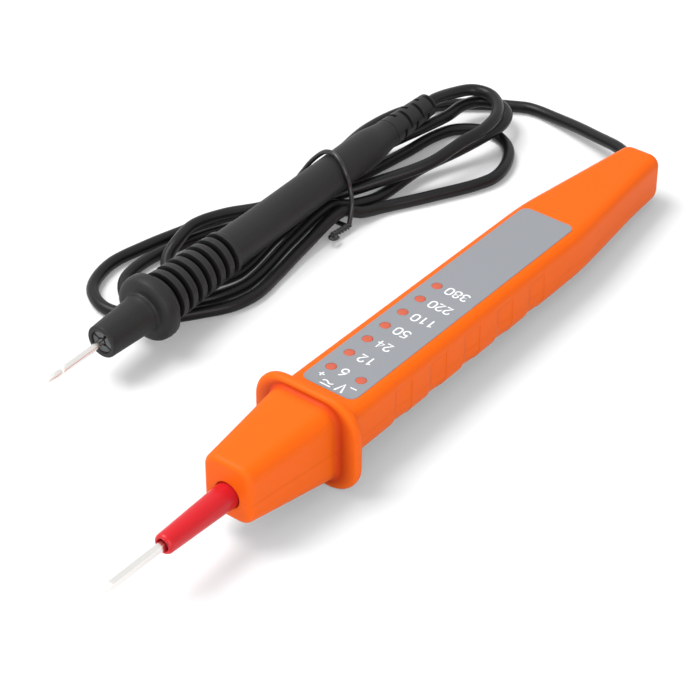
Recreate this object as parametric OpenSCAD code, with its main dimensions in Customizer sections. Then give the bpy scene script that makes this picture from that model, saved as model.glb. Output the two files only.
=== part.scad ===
// Hand-held voltage tester with eight lamps, a second probe and the lead between them.
// Millimetres. +Z up, the table at z = 0, X along the tester from its tip to its tail.
// The tester lies on its finger guard and its tail, so it is tipped by a few degrees:
// its nodes are drawn in the tester's own frame, with x = 0 at the guard's front face
// and z = 0 on the pin's axis, which is also where the two half shells meet.

/* [Tester] */
// Length of the body behind the finger guard
body_length = 153; // [120:1:180]
// Width of the body at the guard
body_width = 23.6; // [20:0.1:28]
// Height of the body
body_height = 17; // [14:0.1:22]
// Width of the finger guard
guard_width = 32.6; // [28:0.1:38]
// Height of the finger guard
guard_height = 27.6; // [22:0.1:32]
// Thickness of the finger guard
guard_thickness = 3; // [2:0.1:5]
// Length of the nose in front of the guard
nose_length = 30; // [20:1:40]
// Bare length of the red tip sleeve
sleeve_length = 23.5; // [15:0.5:30]
// Bare length of the main pin
pin_length = 21; // [12:0.5:25]
// Size across the main pin's flats
pin_size = 1.8; // [1.5:0.1:2.1]

/* [Label] */
// Length of the label plate
label_length = 98.8; // [80:0.1:120]
// Width of the label plate
label_width = 16.9; // [14:0.1:20]
// Distance from one lamp to the next
lamp_pitch = 7.5; // [6:0.1:9]
// Diameter of a lamp
lamp_d = 2.7; // [2:0.1:5]

/* [Second probe] */
// Distance between the tester's axis and the probe's axis
probe_spacing = 67; // [55:1:90]
// Diameter of the probe's finger collar
collar_d = 19.4; // [15:0.1:22]
// Diameter of the ribbed grip behind the collar
grip_d = 15; // [12:0.1:18]
// Diameter of the smooth handle
handle_d = 11.2; // [10:0.1:12]
// Bare length of the second pin
second_pin_length = 21; // [15:0.5:30]
// Diameter of the second pin
second_pin_d = 2; // [1.5:0.1:3]

/* [Lead] */
// Diameter of the lead
lead_d = 3.6; // [3:0.1:5]

/* [Hidden] */
round_fn = 48;
small_fn = 24;
eps = 0.01;
fit_gap = 0.1;
over = 1;
sharp_turn = 24;

// Body section, as heights above and below the pin's axis
body_top = 0.54 * body_height;
body_low = body_height - body_top;
half_width = body_width / 2;
top_round = 3;
low_round = 6.5;
wall = 2;
nose_half = 0.314 * body_width;
nose_top = 9.9;
nose_low = 7;
nose_round = 4.9;
nose_edge = 1.2;
nose_edge_shares = [[1, 0], [0.3, 0.7], [0, 1]];
guard_half = guard_width / 2;
guard_top = 0.518 * guard_height;
guard_low = guard_height - guard_top;
guard_round = 8.8;
guard_edge = 0.8;
label_front = 8.6;
label_behind = 1.6;
tail_start = label_front + label_length + label_behind;
tail_half = 6;
tail_drop = 1.2;
tail_edge = 3;
grip_first = 23.4;
grip_depth = 0.6;
grip_count = 5;
grip_behind = 26;
grip_pitch = (tail_start - grip_behind - grip_first) / (grip_count - 1);
grip_fall = 0.12 * grip_pitch;
grip_rise = 0.38 * grip_pitch;

// How the tester lies: the guard's lower edge and the tail's lower edge touch the table
foot_front = guard_thickness - guard_edge;
foot_back = body_length + guard_thickness - tail_edge;
tilt = atan((guard_low - body_low) / (foot_back - foot_front));
tester_x = -41.2;
tester_y = -30;
tester_z = foot_front * sin(tilt) + guard_low * cos(tilt);
probe_y = tester_y + probe_spacing;

// Inside the tester
pocket_top = body_top - wall;
pocket_low = body_low - wall;
pocket_front = 5;
pocket_end_wall = 9;
pocket_draw = 0.5;
pocket_back = body_length + guard_thickness - pocket_end_wall;
pocket_half = half_width - wall;
pocket_half_low = 8;
pocket_half_back = 3.9;
sleeve_seat = 12;
sleeve_root_d = 7.1;
sleeve_front_d = 5.6;
sleeve_rim_d = 8.6;
sleeve_rim = 1.6;
sleeve_sunk = 2;
pin_point = 3;
pin_back = 4;
pin_collar_d = 9;
pin_collar_length = 3;
board_thickness = 1.6;
board_top = 1.6;
board_front = 8;
board_inset = 6;
board_back = tail_start - board_inset;
board_half = 8.6;
label_thickness = 0.4;
label_round = 2.4;
label_step = 0.15;
lamp_x = 16.6;
lamp_row = 7;
lamp_side = 4.72;
minus_side = 4.86;
lamp_gap = 0.15;
lamp_flange = 0.5;
lamp_flange_h = 1;
lamp_leg_d = 0.5;
leg_out = 1;
lamp_leg_pitch = 2.54 / 2;
screw_d = 2.5;
screw_head_d = 4.6;
screw_head_h = 1.6;
screw_boss_d = 6;
nose_screw_x = -0.3 * nose_length;
nose_screw_side = 6;
tail_screw_x = tail_start + 2;
tail_screw_side = 4.4;
screw_at = [[nose_screw_x, nose_screw_side], [nose_screw_x, -nose_screw_side],
    [tail_screw_x, tail_screw_side]];
screw_top = 6;
lead_exit_turn = 30;
exit_inset = 7;
lead_exit_x = body_length - exit_inset;
lead_out = 11.5;
lead_side = -2;
outlet_back = 4;
outlet_length = 26;

// Second probe stations along its axis, from the nose front backwards
probe_z = 12.6;
probe_x = -43.5;
collar_front = 15;
collar_rim_at = 19.1;
collar_back = 21.1;
grip_at = 23.1;
groove_pitch = 3.95;
groove_count = 7;
groove_width = 1.7;
groove_depth = 2;
handle_at = 50.6;
handle_end = 114;
neck_at = 122;
boot_at = 124;
boot_end = 144;

function deg_arc(cy, cz, r, a0, a1, steps) =
    [for (k = [0:steps]) let (a = a0 + (a1 - a0) * k / steps) [cy + r * cos(a), cz + r * sin(a)]];

// One closed section of the body: rounded above and below, the lower side drawn in by cut
corner_steps = 5;
round_share = 0.8;
function ring_at(x, w, top, low, rt, rb, cut) = let (
    rt1 = min(rt, round_share * w), rb1 = min(rb, round_share * (w - cut), round_share * low),
    split = 0.8 * (top - rt1))
    [for (p = concat([[w - cut, 0], [w - cut, split]],
        deg_arc(w - rt1, top - rt1, rt1, 0, 90, corner_steps),
        deg_arc(rt1 - w, top - rt1, rt1, 90, 180, corner_steps),
        [[cut - w, split], [cut - w, 0]],
        deg_arc(rb1 + cut - w, rb1 - low, rb1, 180, 270, corner_steps),
        deg_arc(w - cut - rb1, rb1 - low, rb1, 270, 360, corner_steps)))
        [x, p[0], p[1]]];

// Skin of a row of rings, as one closed solid of triangles; each end is a fan about its middle
function middle(ring) = [for (k = [0:2]) let (v = [for (p = ring) p[k]]) sum(v) / len(v)];
function sum(v, k = 0) = k == len(v) ? 0 : v[k] + sum(v, k + 1);
module skin(rings) {
    n = len(rings[0]);
    m = len(rings);
    polyhedron(points = concat([for (r = rings) each r], [middle(rings[0]), middle(rings[m - 1])]),
        faces = concat(
            [for (k = [0:n - 1]) [k, (k + 1) % n, n * m]],
            [for (j = [0:m - 2], k = [0:n - 1]) [j * n + k, (j + 1) * n + k, (j + 1) * n + (k + 1) % n]],
            [for (j = [0:m - 2], k = [0:n - 1]) [j * n + k, (j + 1) * n + (k + 1) % n, j * n + (k + 1) % n]],
            [for (k = [0:n - 1]) [(m - 1) * n + (k + 1) % n, (m - 1) * n + k, n * m + 1]]),
        convexity = 8);
}

function body_half(x) = half_width - 0.5 * x / tail_start;
function tail_share(x) = max(0, (x - tail_start) / (body_length + guard_thickness - tail_start));
function tail_w(x) = body_half(min(x, tail_start)) * (1 - tail_share(x)) + tail_half * tail_share(x);
function end_inset(x) = let (u = max(0, x - foot_back) / tail_edge) tail_edge * (1 - sqrt(max(0, 1 - u * u)));
function body_ring(x, cut) = let (e = end_inset(x))
    ring_at(x, tail_w(x) - e, body_top - tail_drop * tail_share(x) - e, body_low - e, top_round,
        low_round, cut);

// The nose widens evenly up to a small fillet: how far back, and how much of its radius is done
fillet = 2;
fillet_shares = [[0, 0], [0.5, 0.13], [0.87, 0.5], [1, 1]];
fillet_up_share = 0.6;
function mix(a, b, t) = a + (b - a) * t;
nose_back_half = 10.3;
nose_back_top = 12.1;
nose_back_low = 10.6;
nose_back_round = 6;

function nose_rings() = concat(
    [for (s = nose_edge_shares) let (e = 0.8 * nose_edge * s[0])
        ring_at(-nose_length + nose_edge * s[1], nose_half - e, nose_top - e, nose_low - e,
            nose_round, nose_round, 0)],
    [for (s = fillet_shares) let (o = fillet * s[1], up = fillet_up_share * o)
        ring_at(-fillet * (1 - s[0]), nose_back_half + o, nose_back_top + up, nose_back_low + up,
            nose_back_round + up, nose_back_round + up, 0)]);
function guard_rings() =
    [for (s = [[0, 1], [0.3, 0.3], [1, 0]])
        ring_at(guard_edge * s[0], guard_half - guard_edge * s[1], guard_top - guard_edge * s[1],
            guard_low - guard_edge * s[1], guard_round, guard_round, 0)];
function guard_back_rings() =
    [for (s = [[1, 0], [0.3, 0.3], [0, 1]])
        ring_at(guard_thickness - guard_edge * s[0], guard_half - guard_edge * s[1],
            guard_top - guard_edge * s[1], guard_low - guard_edge * s[1], guard_round, guard_round, 0)];
function grip_rings() = [for (k = [0:grip_count - 1], s = [[-grip_fall, 0], [0, 1], [grip_rise, 0]])
    body_ring(grip_first + grip_pitch * k + s[0], grip_depth * s[1])];
function body_rings() = concat(
    [ring_at(guard_thickness + 0.2 * guard_edge, half_width + guard_edge, body_top + guard_edge,
        body_low + guard_edge, top_round, low_round, 0)],
    [body_ring(guard_thickness + 1.6 * guard_edge, 0)],
    grip_rings(),
    [for (s = [0, 0.5]) body_ring(mix(tail_start, foot_back, s), 0)],
    [for (s = [0, 0.45, 0.8, 0.97]) body_ring(foot_back + tail_edge * s, 0)]);

// Each half shell's outside is the skin of the sections' points above or below the split
function upper_part(ring) = [for (k = [0:2 * corner_steps + 5]) ring[k]];
function lower_part(ring) = concat([for (k = [2 * corner_steps + 5:len(ring) - 1]) ring[k]], [ring[0]]);
module outer_half(up) {
    skin([for (r = concat(nose_rings(), guard_rings(), guard_back_rings(), body_rings()))
        up ? upper_part(r) : lower_part(r)]);
}

// Direction of the lead's outlet through the tail's far rear corner
module at_outlet() {
    translate([lead_exit_x, 0, 0])
        rotate([0, 0, lead_exit_turn])
            rotate([0, 90, 0])
                children();
}

module pocket_room(half) {
    polygon([[pocket_front, -half], [tail_start, pocket_draw - half], [pocket_back, -pocket_half_back],
        [pocket_back, pocket_half_back], [tail_start, half - pocket_draw], [pocket_front, half]]);
}
// Room for the board and the lead; below the split it is narrower, as a ledge for the board
module pocket() {
    linear_extrude(height = pocket_top)
        pocket_room(pocket_half);
    translate([0, 0, -pocket_low])
        linear_extrude(height = pocket_low + over)
            pocket_room(pocket_half_low);
    // Channel for the sleeve, groove for its rim and room for the pin's collar
    translate([-nose_length - eps, 0, 0])
        rotate([0, 90, 0])
            cylinder(h = nose_length + pocket_front + over, d = sleeve_root_d + 2 * fit_gap, $fn = round_fn);
    translate([-nose_length + sleeve_sunk - fit_gap, 0, 0])
        rotate([0, 90, 0])
            cylinder(h = sleeve_rim + 2 * fit_gap, d = sleeve_rim_d + 2 * fit_gap, $fn = round_fn);
    translate([-nose_length + sleeve_seat, 0, 0])
        rotate([0, 90, 0])
            cylinder(h = pin_collar_length + 2 * fit_gap, d = pin_collar_d + 2 * fit_gap, $fn = round_fn);
    at_outlet()
        translate([0, 0, -outlet_back])
            cylinder(h = outlet_back + outlet_length, d = lead_d + 2 * fit_gap, $fn = small_fn);
}

// Blind screw holes, entered from the lower side, and the bosses that carry them
module screw_places() {
    for (p = screw_at)
        translate([p[0], p[1], 0])
            children();
}
module screw_hole() {
    translate([0, 0, -guard_low])
        cylinder(h = guard_low + screw_top + fit_gap, d = screw_d + fit_gap, $fn = small_fn);
    translate([0, 0, -guard_low])
        cylinder(h = guard_low - body_low + 2 * screw_head_h, d = screw_head_d + 2 * fit_gap, $fn = small_fn);
}
module rear_boss(up) {
    translate([screw_at[2][0], screw_at[2][1], up ? 0 : -pocket_low - wall / 2])
        cylinder(h = (up ? pocket_top : pocket_low) + wall / 2, d = screw_boss_d, $fn = small_fn);
}

// The tester's own frame, laid on the table
module lie() {
    translate([tester_x, tester_y, tester_z])
        rotate([0, tilt, 0])
            children();
}

module half_shell(up) {
    difference() {
        union() {
            difference() {
                outer_half(up);
                pocket();
            }
            rear_boss(up);
        }
        screw_places()
            screw_hole();
    }
}

module lower_shell() {
    color([0.95, 0.40, 0.12])
        lie()
            half_shell(false);
}

// The upper half also has the seat for the label and the lamps' windows
function lamp_places() = concat(
    [for (k = [0:lamp_row - 1]) [lamp_x + lamp_pitch * k, lamp_side]],
    [[lamp_x, -minus_side]]);
module label_outline() {
    translate([label_front + label_round, -label_width / 2])
        square([label_length - 2 * label_round, label_width]);
    translate([label_front, label_round - label_width / 2])
        square([label_length, label_width - 2 * label_round]);
    for (x = [label_front + label_round, label_front + label_length - label_round], y = [-1, 1])
        translate([x, y * (label_width / 2 - label_round)])
            circle(r = label_round, $fn = small_fn);
}
module upper_shell() {
    color([0.95, 0.40, 0.12])
        lie()
            difference() {
                half_shell(true);
                translate([0, 0, body_top - label_thickness + label_step])
                    linear_extrude(height = wall)
                        label_outline();
                for (p = lamp_places())
                    translate([p[0], p[1], pocket_top - wall])
                        cylinder(h = 3 * wall, d = lamp_d + 2 * lamp_gap, $fn = small_fn);
            }
}

module display_label() {
    color([0.62, 0.64, 0.65])
        lie()
            difference() {
                translate([0, 0, body_top - label_thickness + label_step])
                    linear_extrude(height = label_thickness)
                        label_outline();
                for (p = lamp_places())
                    translate([p[0], p[1], body_top - wall])
                        cylinder(h = 2 * wall, d = lamp_d + 2 * lamp_gap, $fn = small_fn);
            }
}

// Red sleeve round the pin: a rim in a groove inside the nose, a taper and a rounded lip
sleeve_lip = 1.6;
sleeve_lip_share = 0.6;
sleeve_recess = 0.8;
sleeve_bore = 3.1;
sleeve_mouth_d = 3.4;
module tip_sleeve() {
    color([0.85, 0.10, 0.14])
        lie()
            translate([-nose_length - sleeve_length, 0, 0])
                rotate([0, 90, 0])
                    difference() {
                        rotate_extrude($fn = round_fn)
                            polygon(concat(
                                [[0, 0], [sleeve_front_d / 2 - sleeve_lip_share * sleeve_lip, 0]],
                                [for (a = [15:25:90]) let (b = sleeve_lip_share * sleeve_lip)
                                    [sleeve_front_d / 2 - b * (1 - sin(a)), sleeve_lip * (1 - cos(a))]],
                                [[sleeve_root_d / 2, sleeve_length + sleeve_sunk],
                                [sleeve_rim_d / 2, sleeve_length + sleeve_sunk],
                                [sleeve_rim_d / 2, sleeve_length + sleeve_sunk + sleeve_rim],
                                [sleeve_root_d / 2, sleeve_length + sleeve_sunk + sleeve_rim],
                                [sleeve_root_d / 2, sleeve_length + sleeve_seat],
                                [0, sleeve_length + sleeve_seat]]));
                        translate([0, 0, -eps])
                            cylinder(h = sleeve_recess, d = sleeve_mouth_d, $fn = round_fn);
                        cylinder(h = sleeve_length + sleeve_seat + over, d = sleeve_bore + 2 * fit_gap,
                            $fn = round_fn);
                    }
}

// Square pin with a pyramid point, round where the collar holds it
module main_pin() {
    color([0.80, 0.80, 0.78])
        lie()
            translate([-nose_length - sleeve_length, 0, 0])
                rotate([45, 0, 0])
                    rotate([0, 90, 0]) {
                        translate([0, 0, pin_point - pin_length])
                            cylinder(h = pin_length - pin_point + sleeve_recess, d = pin_size * sqrt(2),
                                $fn = 4);
                        translate([0, 0, -pin_length])
                            cylinder(h = pin_point, d1 = 0, d2 = pin_size * sqrt(2), $fn = 4);
                        translate([0, 0, sleeve_recess])
                            cylinder(h = sleeve_length - sleeve_recess + sleeve_seat + pin_collar_length
                                + pin_back, d = sleeve_bore, $fn = round_fn);
                    }
}
module pin_collar() {
    color([0.80, 0.66, 0.35])
        lie()
            translate([-nose_length + sleeve_seat + fit_gap, 0, 0])
                rotate([0, 90, 0])
                    difference() {
                        cylinder(h = pin_collar_length, d = pin_collar_d, $fn = round_fn);
                        translate([0, 0, -over])
                            cylinder(h = pin_collar_length + 2 * over, d = sleeve_bore, $fn = round_fn);
                    }
}

// Tube swept along a list of points, with flat ends square to its path
function unit(v) = v / norm(v);
function tangent(p, k) = unit(p[min(k + 1, len(p) - 1)] - p[max(k - 1, 0)]);
function tube_ring(c, t, r, sides) = let (s = unit(cross([0, 0, 1], t)), u = cross(t, s))
    [for (k = [0:sides - 1]) let (a = 360 * (k + 0.5) / sides) c + r * cos(a) * s + r * sin(a) * u];
module tube(path, r, sides) {
    skin([for (k = [0:len(path) - 1]) tube_ring(path[k], tangent(path, k), r, sides)]);
}
// Smooth curve through points that lie at uneven distances
function slope_at(p, k) = let (a = max(k - 1, 0), b = min(k + 1, len(p) - 1))
    (p[b] - p[a]) / (norm(p[b] - p[k]) + norm(p[k] - p[a]));
function between(p, k, t) = let (a = p[k], b = p[k + 1], l = norm(b - a), ma = slope_at(p, k) * l,
    mb = slope_at(p, k + 1) * l)
    a * (2 * pow(t, 3) - 3 * t * t + 1) + ma * (pow(t, 3) - 2 * t * t + t)
    + b * (3 * t * t - 2 * pow(t, 3)) + mb * (pow(t, 3) - t * t);
// The first and the last stretch stay straight; the others are cut up where the path turns
function turn(p, k) = let (a = unit(p[k] - p[k - 1]), b = unit(p[k + 1] - p[k])) acos(min(1, a * b));
function parts_of(p, k) = k == 0 || k == len(p) - 2 ? 1
    : max(turn(p, k), turn(p, k + 1)) > sharp_turn ? 2 : 1;
function smooth(p) = concat(
    [for (k = [0:len(p) - 2]) let (n = parts_of(p, k)) for (j = [0:n - 1]) between(p, k, j / n)],
    [p[len(p) - 1]]);
function length_of(p, k = 0) = k >= len(p) - 1 ? 0 : norm(p[k + 1] - p[k]) + length_of(p, k + 1);
function to_segment(q, a, b) = let (l = b - a, t = min(1, max(0, (q - a) * l / (l * l)))) norm(q - a - t * l);
function least_gap(p, d, apart) = min([for (i = [0:len(p) - 1 - apart], j = [i + apart:len(p) - 2])
    to_segment(p[i], p[j], p[j + 1])]) - d;

// The wire runs from the pin's back end, over the board's front edge and down to the board
wire_d = 0.8;
wire_start = -nose_length + sleeve_seat + pin_collar_length + pin_back + fit_gap;
wire_end = board_front + 3;
wire_rise = 3;
wire_end_z = board_top + wire_d / 2 + fit_gap;
wire_shares = [[0, 0], [0.1, 0], [0.3, 0.13], [0.5, 0.53], [0.66, 0.87], [0.8, 1], [0.92, 1]];
pin_wire_path = concat([for (s = wire_shares) [mix(wire_start, wire_end, s[0]), 0, wire_rise * s[1]]],
    [[wire_end, 0, wire_end_z]]);
module pin_wire() {
    color([0.75, 0.12, 0.12])
        lie()
            tube(pin_wire_path, wire_d / 2, 8);
}

board_pin_z = board_top - board_thickness;
module circuit_board() {
    color([0.12, 0.38, 0.20])
        lie()
            difference() {
                translate([board_front, -board_half, board_pin_z])
                    cube([board_back - board_front, 2 * board_half, board_thickness]);
                for (p = lamp_places(), s = [-1, 1])
                    translate([p[0] + s * lamp_leg_pitch, p[1], board_pin_z - over])
                        cylinder(h = board_thickness + 2 * over, d = lamp_leg_d + 2 * fit_gap,
                            $fn = small_fn);
            }
}

// Lamp with a domed body, a flange at its foot and two legs through the board
module lamp(p) {
    body = body_top - board_top - fit_gap - lamp_flange_h;
    color([0.98, 0.42, 0.30])
        lie()
            translate([p[0], p[1], board_top + fit_gap]) {
                rotate_extrude($fn = small_fn)
                    polygon(concat(
                        [[0, 0], [lamp_d / 2 + lamp_flange, 0], [lamp_d / 2 + lamp_flange, lamp_flange_h],
                        [lamp_d / 2, lamp_flange_h], [lamp_d / 2, body]],
                        [for (a = [20:20:80])
                            [lamp_d / 2 * cos(a), body + (lamp_flange_h + label_step) * sin(a)]],
                        [[0, body + lamp_flange_h + label_step]]));
                for (s = [-1, 1])
                    translate([s * lamp_leg_pitch, 0, -fit_gap - board_thickness - leg_out])
                        cylinder(h = fit_gap + board_thickness + leg_out + lamp_flange_h / 2, d = lamp_leg_d,
                            $fn = small_fn);
            }
}
module lamp_1() { lamp(lamp_places()[0]); }
module lamp_2() { lamp(lamp_places()[1]); }
module lamp_3() { lamp(lamp_places()[2]); }
module lamp_4() { lamp(lamp_places()[3]); }
module lamp_5() { lamp(lamp_places()[4]); }
module lamp_6() { lamp(lamp_places()[5]); }
module lamp_7() { lamp(lamp_places()[6]); }
module lamp_minus() { lamp(lamp_places()[7]); }

// Dropper resistors and diodes lie along the board behind the lamps
resistor_d = 2.4;
resistor_length = 6.5;
diode_d = 2;
diode_length = 4.2;
bent_leg_d = 0.6;
leg_reach = 1.8;
part_gap = 0.9;
part_behind = 4.4;
part_first = lamp_x + (lamp_row - 1) * lamp_pitch + part_behind;
part_second = part_first + resistor_length + 2 * leg_reach + part_gap;
part_row_1 = 5.5;
part_row_2 = 1.8;
part_row_3 = -4.5;
module leaded_part(x, y, d, l) {
    lie()
        translate([x, y, board_top + fit_gap + d / 2])
            rotate([0, 90, 0]) {
                cylinder(h = l, d = d, $fn = small_fn);
                translate([0, 0, -leg_reach])
                    cylinder(h = l + 2 * leg_reach, d = bent_leg_d, $fn = small_fn);
            }
    lie()
        for (end = [-leg_reach, l + leg_reach])
            translate([x + end, y, board_top])
                cylinder(h = d / 2 + fit_gap, d = bent_leg_d, $fn = small_fn);
}
module resistor_1() {
    color([0.80, 0.72, 0.55])
        leaded_part(part_first, part_row_1, resistor_d, resistor_length);
}
module resistor_2() {
    color([0.80, 0.72, 0.55])
        leaded_part(part_first, part_row_2, resistor_d, resistor_length);
}
module resistor_3() {
    color([0.80, 0.72, 0.55])
        leaded_part(part_second, part_row_1, resistor_d, resistor_length);
}
module resistor_4() {
    color([0.80, 0.72, 0.55])
        leaded_part(part_second, part_row_2, resistor_d, resistor_length);
}
module diode_1() {
    color([0.10, 0.10, 0.10])
        leaded_part(part_first, part_row_3, diode_d, diode_length);
}
module diode_2() {
    color([0.10, 0.10, 0.10])
        leaded_part(part_second, part_row_3, diode_d, diode_length);
}
chip_size = [8.7, 3.9, 1.5];
chip_x = 40;
chip_y = -6;
chip_leg = 1;
module logic_chip() {
    color([0.12, 0.12, 0.13])
        lie()
            translate([chip_x, chip_y, board_top]) {
                cube(chip_size);
                for (k = [0:6], s = [0, 1])
                    translate([chip_size[0] * (k + 0.7) / 8, s * chip_size[1] - (1 - s) * chip_leg, 0])
                        cube([bent_leg_d, chip_leg, bent_leg_d]);
            }
}

// Pan head screw with a crossed recess, entered from the lower side
module screw(k) {
    color([0.72, 0.72, 0.74])
        lie()
            translate([screw_at[k][0], screw_at[k][1], 0]) {
                difference() {
                    translate([0, 0, 2 * screw_head_h - body_low - screw_head_h])
                        cylinder(h = screw_head_h, d = screw_head_d, $fn = small_fn);
                    translate([-screw_head_d / 4, -bent_leg_d / 2, screw_head_h - body_low - eps])
                        cube([screw_head_d / 2, bent_leg_d, screw_head_h / 2]);
                    translate([-bent_leg_d / 2, -screw_head_d / 4, screw_head_h - body_low - eps])
                        cube([bent_leg_d, screw_head_d / 2, screw_head_h / 2]);
                }
                translate([0, 0, 1.5 * screw_head_h - body_low])
                    cylinder(h = body_low - 1.5 * screw_head_h + screw_top, d = screw_d, $fn = small_fn);
            }
}
module shell_screw_1() { screw(0); }
module shell_screw_2() { screw(1); }
module shell_screw_3() { screw(2); }

// Lead inside the tail: from the board, through the clamp and out of the far rear corner
exit_dir = [cos(lead_exit_turn), sin(lead_exit_turn), 0];
exit_start = [lead_exit_x, 0, 0];
tail_bend_r = 12;
bend_start = lead_exit_x + lead_side / tan(lead_exit_turn) - tail_bend_r * tan(lead_exit_turn / 2);
bend_shares = [0, 0.25, 0.5, 0.75, 1];
lead_tail_path = concat([for (s = [0, 0.3, 0.6, 0.85]) [mix(board_back, bend_start, s), lead_side, 0]],
    [for (s = bend_shares) let (a = lead_exit_turn * s)
        [bend_start + tail_bend_r * sin(a), lead_side + tail_bend_r * (1 - cos(a)), 0]],
    [for (s = [0.3, 0.65, 1]) exit_start + lead_out * s * exit_dir]);
module lead_tail() {
    color([0.07, 0.07, 0.08])
        lie()
            tube(lead_tail_path, lead_d / 2, 8);
}
clamp_length = 5;
clamp_gap = 1;
clamp_x = bend_start - clamp_length - clamp_gap;
clamp_half = 2.4;
module lead_clamp() {
    color([0.80, 0.80, 0.82])
        lie()
            difference() {
                translate([clamp_x, lead_side - clamp_half, -pocket_low])
                    cube([clamp_length, 2 * clamp_half, pocket_low + lead_d]);
                translate([clamp_x - over, lead_side, 0])
                    rotate([0, 90, 0])
                        cylinder(h = clamp_length + 2 * over, d = lead_d + fit_gap, $fn = small_fn);
            }
}

// Tester frame to table frame, for the point where the lead leaves the tail
function laid(p) = [p[0] * cos(tilt) + p[2] * sin(tilt) + tester_x, p[1] + tester_y,
    p[2] * cos(tilt) - p[0] * sin(tilt) + tester_z];
lead_start = laid(exit_start + lead_out * exit_dir);
lead_dir = laid(exit_start + exit_dir) - laid(exit_start);

// Heights of the lead's layers on the table, and its free route to the hank
lay_1 = lead_d / 2 + fit_gap;
lay_gap = 0.6;
lay_2 = lay_1 + lead_d + lay_gap;
lay_3 = lay_2 + lead_d + lay_gap;
hank_start = [128.6, 24.8, lay_1];
hank_dir = unit([-0.42, 0.9, 0]);
free_route = [[120.4, -19.6, 7.2], [122, -16, 6.9], [123.4, -12, 6.2], [125, -7, 5.3], [126.6, -2, 4.5],
    [128, 3, 3.7], [129.2, 8, 2.9], [130.1, 12.5, 2.3], [130.6, 16.5, 2], [130.6, 19, 1.9]];
lead_points = concat([lead_start, lead_start + lead_d * lead_dir], free_route,
    [hank_start - lead_d * hank_dir, hank_start]);
module lead() {
    color([0.07, 0.07, 0.08])
        tube(smooth(lead_points), lead_d / 2, 8);
}

// The hank: three loops round the probe's handle, side by side at the tied waist.
// Each loop runs along the far side, round its left end, under the handle, along the near
// side and round its right end.
loops = 3;
waist_x = 49.5;
waist_places = [[30, 5.2], [34.4, 5], [38.5, 3.6], [42.7, 3.5], [44.8, 7.1], [46.9, 3.5]];
function at_waist(k) = [waist_x, waist_places[k][0], waist_places[k][1]];
// Waypoints along the far side up to each loop's left end
far_side = [
    [[124.4, 32.5, lay_1], [117.5, 41.5, lay_1], [107, 50, lay_1], [92, 53.4, lay_1], [76, 51.8, 2.3],
        [64, 50.4, 2.9], at_waist(5), [40, 50.8, 2.8], [33.5, 56.2, 2.3], [27, 60.2, lay_1],
        [18, 63.3, lay_1]],
    [[89, 36.4, lay_1], [72, 38.6, lay_1 + 0.7], at_waist(3), [40, 45, 3], [33, 48.8, 2.3], [24, 55.2, lay_1],
        [13, 59.6, lay_1]],
    [[99.6, 36.2, 5.9], [88.4, 41.2, 4], [74, 46.2, lay_1 + 0.6], [62, 45.3, 5.4], at_waist(4),
        [37, 47.2, 6.9], [27, 54.8, lay_2 + 0.4]]];
left_end = [
    [[6, 67, lay_1], [-6, 69.2, lay_1], [-16.8, 65.8, lay_1], [-21.6, 58, lay_1], [-20.5, 49.5, lay_1],
        [-15.4, 40.8, lay_1], [-7, 33.8, lay_1]],
    [[1, 62.2, lay_1], [-9, 60.8, lay_1], [-15, 54, lay_1], [-13, 46.4, lay_1], [-7, 40.4, lay_1]],
    [[18, 58.4, lay_2 + 0.3], [9.5, 57.4, lay_2 - 0.2], [3.4, 56, 3.8], [-0.6, 51, 2.2], [0, 45, lay_1],
        [6, 40, lay_1]]];
near_side = [
    [[0, 29.2, lay_1], [8, 27.3, lay_1], [19, 28.5, lay_1], [33, 30, lay_1 + 1], at_waist(0), [55, 27, 3.1],
        [62, 24.6, lay_1], [75, 16.6, lay_1]],
    [[1, 35, lay_1], [11, 32.2, lay_1], [32, 34.6, lay_1 + 1], at_waist(1), [56, 31.4, 3.2], [65, 28.6, 2.1],
        [82, 26.2, 3.7]],
    [[14, 37.4, lay_1], [32, 39.2, lay_1 + 1], at_waist(2), [55, 36.9, 4.6], [63, 31.9, lay_2 - 0.3],
        [80, 21.9, lay_2 + 2.1]]];
right_end = [
    [[91.4, 8, lay_1], [100.8, 8.7, lay_1], [109, 13.9, lay_1], [112.4, 22.6, lay_1], [108, 31.3, lay_1],
        [100.6, 34.8, lay_1]],
    [[95.2, 21.6, 5.1], [104.2, 19, lay_2], [112, 18.4, lay_2], [118.2, 20.6, lay_2], [121.2, 25.8, lay_2],
        [119.4, 31.4, lay_2], [113.9, 34.2, lay_2], [107.2, 34.6, lay_2 - 0.1]],
    [[93.2, 18.9, lay_3 - 0.1], [102, 17.7, lay_3], [110, 18.9, lay_3], [115.9, 22.6, lay_3],
        [118.8, 27.6, lay_3], [117.4, 32.8, lay_3 + 0.3], [111.6, 35.8, lay_3 + 1]]];
hank_end = [probe_x + boot_end, probe_y, probe_z];
hank_route = concat([hank_start],
    [for (k = [0:loops - 1]) each concat(far_side[k], left_end[k], near_side[k], right_end[k])],
    [hank_end + [lead_d, 0, 0], hank_end]);
hank_path = smooth(hank_route);
module lead_hank() {
    color([0.07, 0.07, 0.08])
        tube(hank_path, lead_d / 2, 6);
}

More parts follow.
